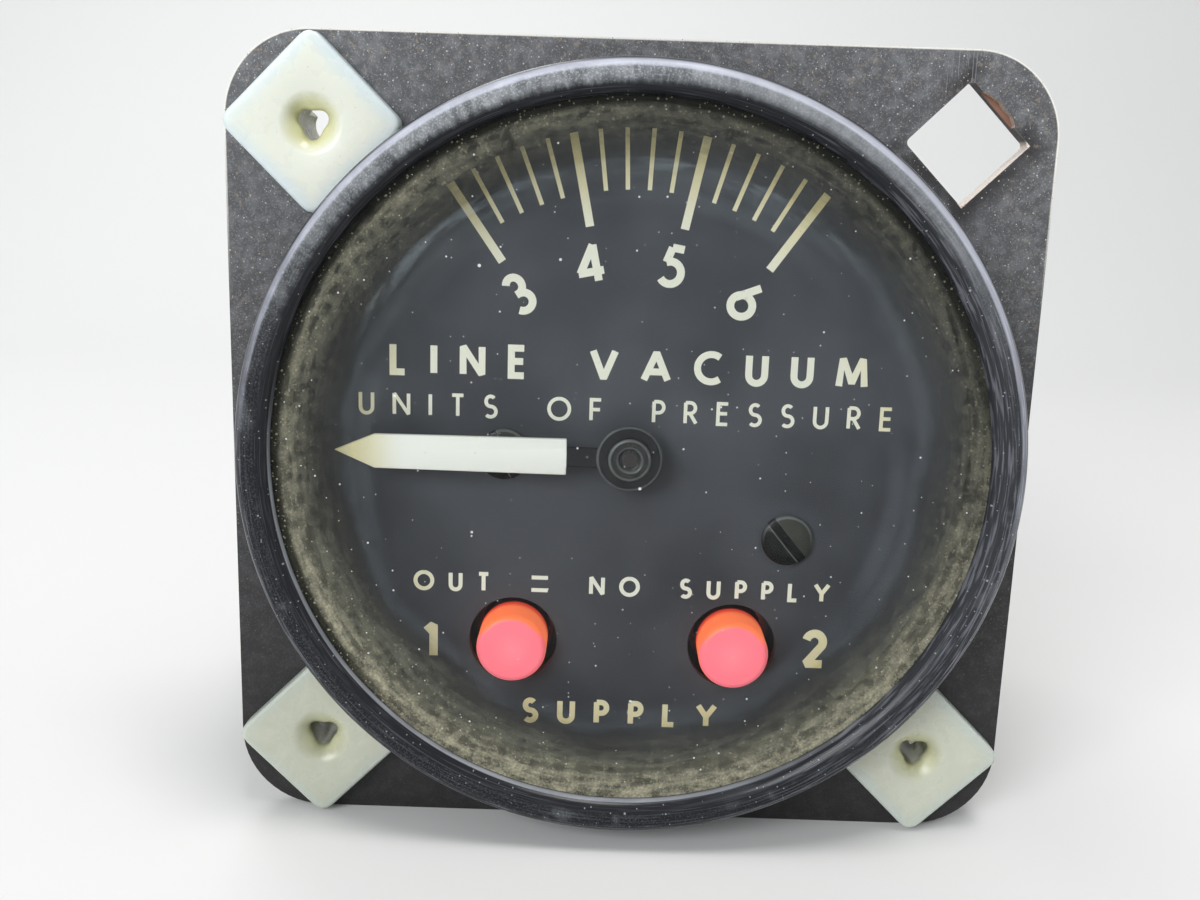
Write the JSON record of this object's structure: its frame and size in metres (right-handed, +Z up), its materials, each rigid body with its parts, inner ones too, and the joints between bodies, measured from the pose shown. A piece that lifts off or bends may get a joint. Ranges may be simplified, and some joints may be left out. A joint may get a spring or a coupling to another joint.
{
  "type": "suction indicator",
  "caption": "Square-flanged round panel gauge for gyro suction, with one pointer over a graduated dial and red source buttons that show when a source has no suction.",
  "frame": {"origin": "on the dial axis, at the back edge of the bezel ring's locating wall, 0.1 mm in front of the plane that the nut heads and the panel's back face share", "axes": "-Y out of the dial towards the viewer, +X to the right of the dial as it is read, +Z up"},
  "size_m": [0.0604, 0.0697, 0.0604],
  "materials": {
    "black_phenolic": "moulded black phenolic, satin, worn and dusty, with a reddish-brown core where it is chipped",
    "black_enamel": "glossy black enamel, rubbed and scratched",
    "cover_glass": "clear flat glass with grime round its edge",
    "gasket_rubber": "black rubber",
    "dial_black": "matt blue-black paint with cream print",
    "blackened_steel": "blackened, satin",
    "pointer_cream": "cream paint, with a black neck and eye on the pointer",
    "movement_brass": "turned and stamped brass",
    "bright_steel": "turned steel",
    "spring_bronze": "bronze spring alloy",
    "spring_steel": "drawn steel wire",
    "signal_red": "fluorescent red moulding",
    "turned_aluminium": "turned aluminium",
    "tube_rubber": "dark rubber tube",
    "fitting_brass": "turned brass",
    "natural_nylon": "milky natural nylon"
  },
  "bodies": {
    "housing": {"case": "black_phenolic", "bezel_ring": "black_enamel", "glass": "cover_glass", "glass_gasket": "gasket_rubber", "dial": "dial_black", "dial_screw_right": "blackened_steel", "dial_screw_left": "blackened_steel", "scale_marks": "pointer_cream", "dial_post_right": "movement_brass", "dial_post_left": "movement_brass", "movement_front_plate": "movement_brass", "movement_rear_plate": "movement_brass", "movement_pillar_1": "movement_brass", "movement_pillar_2": "movement_brass", "movement_pillar_3": "movement_brass", "movement_pillar_4": "movement_brass", "staff_bush_front": "movement_brass", "staff_bush_rear": "movement_brass", "arbor_bush_front": "movement_brass", "arbor_bush_rear": "movement_brass", "hairspring_stud": "movement_brass", "capsule_stem": "movement_brass", "capsule_bracket": "movement_brass", "pillar_screws": "bright_steel", "plate_screws": "bright_steel", "bracket_screws": "bright_steel", "zero_stop_pin": "bright_steel", "hairspring": "spring_bronze", "capsule": "spring_bronze", "indicator_spring_left": "spring_steel", "indicator_spring_right": "spring_steel", "indicator_cylinder_left": "turned_aluminium", "indicator_ring_nut_left": "turned_aluminium", "indicator_end_cap_left": "turned_aluminium", "indicator_cylinder_right": "turned_aluminium", "indicator_ring_nut_right": "turned_aluminium", "indicator_end_cap_right": "turned_aluminium", "source_tube_left": "tube_rubber", "source_tube_right": "tube_rubber", "gauge_tube": "tube_rubber", "gauge_fitting": "fitting_brass", "source_left_fitting": "fitting_brass", "source_right_fitting": "fitting_brass", "mounting_nut_upper_left": "natural_nylon", "mounting_nut_lower_left": "natural_nylon", "mounting_nut_lower_right": "natural_nylon"},
    "pointer_body": {"pointer": "pointer_cream", "pointer_hub": "blackened_steel", "pointer_staff": "bright_steel", "hairspring_collet": "movement_brass"},
    "sector_body": {"sector_gear": "movement_brass", "sector_arbor": "bright_steel", "crank_arm": "movement_brass", "crank_pin": "bright_steel"},
    "capsule_centre": {"capsule_boss": "movement_brass", "link": "bright_steel", "link_pin": "bright_steel"},
    "left_button": {"indicator_button_left": "signal_red"},
    "right_button": {"indicator_button_right": "signal_red"}
  },
  "joints": [
    {"name": "sector_swing", "type": "hinge", "parent": "housing", "child": "sector_body", "pos_m": [0.00446, 0.019, 0.01656], "axis": [0, -1, 0], "range_deg": [0, 22.5], "stiffness_Nm_per_rad": 0.012, "springref_deg": -5.73},
    {"name": "pointer_turn", "type": "hinge", "parent": "housing", "child": "pointer_body", "pos_m": [0, 0.0016, 0], "axis": [0, 1, 0], "range_deg": [0, 135], "deforming": ["hairspring"]},
    {"name": "capsule_travel", "type": "slide", "parent": "housing", "child": "capsule_centre", "axis": [0, 0, -1], "range_m": [0, 0.00176], "deforming": ["capsule"]},
    {"name": "left_button_slide", "type": "slide", "parent": "housing", "child": "left_button", "axis": [0, 1, 0], "range_m": [0, 0.003], "stiffness_N_per_m": 60, "springref_m": -0.002, "deforming": ["indicator_spring_left"]},
    {"name": "right_button_slide", "type": "slide", "parent": "housing", "child": "right_button", "axis": [0, 1, 0], "range_m": [0, 0.003], "stiffness_N_per_m": 60, "springref_m": -0.002, "deforming": ["indicator_spring_right"]}
  ],
  "couplings": [
    {"joint": "pointer_turn", "follows": "sector_swing", "ratio": 6},
    {"joint": "capsule_travel", "follows": "sector_swing", "m_per_rad": 0.0044711}
  ]
}
